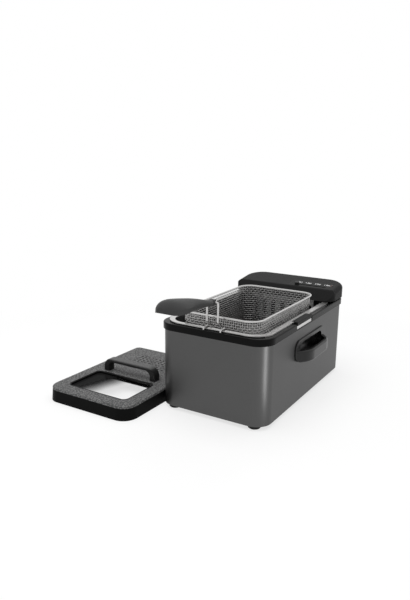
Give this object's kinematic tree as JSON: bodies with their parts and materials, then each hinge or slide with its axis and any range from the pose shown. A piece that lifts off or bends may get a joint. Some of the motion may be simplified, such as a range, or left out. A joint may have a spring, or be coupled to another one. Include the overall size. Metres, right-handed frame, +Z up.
{
  "type": "deep fryer",
  "caption": "Household oil deep fryer with a steel housing, lift-out bowl, control head with immersed element, mesh basket with folding grip, and a separate windowed lid.",
  "frame": {"origin": "middle of the whole set's footprint on the table, fryer and laid lid together", "axes": "+Z up, -Y towards the front where the basket grip points, +X to the right"},
  "size_m": [0.467, 0.5812, 0.2632],
  "materials": {
    "dark_steel": "dark brushed steel",
    "bright_steel": "bright satin steel",
    "element_steel": "matt steel tube",
    "zinc_steel": "zinc plated",
    "wire_chrome": "bright plated wire",
    "mesh_steel": "plated mesh",
    "satin_black": "satin",
    "gloss_black": "gloss",
    "grip_grey": "satin",
    "grained_grey": "fine grain",
    "rubber_black": "matt",
    "lamp_lens": "clear red",
    "switch_body": "matt",
    "window_clear": "clear",
    "filter_fibre": "felt"
  },
  "bodies": {
    "base": {"housing_shell": "dark_steel", "base_tray": "satin_black", "rubber_feet": "rubber_black", "tie_bolts": "zinc_steel", "top_collar": "gloss_black", "side_handle_right": "satin_black", "side_handle_left": "satin_black", "handle_screws": "zinc_steel"},
    "bowl": {"oil_bowl": "bright_steel", "bowl_grips": "satin_black"},
    "control_head": {"head_cover": "satin_black", "head_base": "satin_black", "head_screws": "zinc_steel", "control_panel": "gloss_black", "pilot_lamps": "lamp_lens", "thermostat": "switch_body", "thermal_cutout": "switch_body", "terminal_block": "switch_body", "cord_gland": "rubber_black", "heating_element": "element_steel", "element_guard": "bright_steel", "sensor_bulb": "bright_steel", "sensor_clips": "bright_steel"},
    "slider": {"thermostat_slider": "satin_black"},
    "reset": {"reset_button": "lamp_lens"},
    "basket": {"basket_rim": "wire_chrome", "basket_foot_wire": "wire_chrome", "net_front": "mesh_steel", "net_rear": "mesh_steel", "net_left": "mesh_steel", "net_right": "mesh_steel", "net_corners": "mesh_steel", "net_floor": "mesh_steel", "handle_bracket": "wire_chrome", "drain_hook": "wire_chrome"},
    "grip": {"basket_grip": "grip_grey"},
    "lid": {"lid_skirt": "satin_black", "lid_top": "grained_grey", "window_bezel": "gloss_black", "window_glass": "window_clear", "glass_retainer": "satin_black", "lid_handle": "grip_grey", "lid_screws": "zinc_steel", "vent_grille": "grained_grey", "filter_pad": "filter_fibre", "filter_frame": "satin_black"}
  },
  "joints": [
    {"name": "bowl_lift", "type": "slide", "parent": "base", "child": "bowl", "axis": [0, 0, 1], "range_m": [0, 0.18]},
    {"name": "head_lift", "type": "slide", "parent": "bowl", "child": "control_head", "axis": [0, 0, 1], "range_m": [0, 0.045]},
    {"name": "thermostat_set", "type": "slide", "parent": "control_head", "child": "slider", "axis": [1, 0, 0], "range_m": [0, 0.066]},
    {"name": "reset_press", "type": "slide", "parent": "control_head", "child": "reset", "axis": [0, -1, 0], "range_m": [0, 0.0025], "stiffness_N_per_m": 600},
    {"name": "basket_lift", "type": "slide", "parent": "bowl", "child": "basket", "axis": [0, 0, 1], "range_m": [0, 0.15]},
    {"name": "grip_fold", "type": "hinge", "parent": "basket", "child": "grip", "pos_m": [0.0995, -0.12842, 0.23], "axis": [-1, 0, 0], "range_deg": [0, 184]},
    {"name": "lid_lift", "type": "slide", "parent": "base", "child": "lid", "axis": [-0.7071, 0, 0.7071], "range_m": [0, 0.25]}
  ]
}
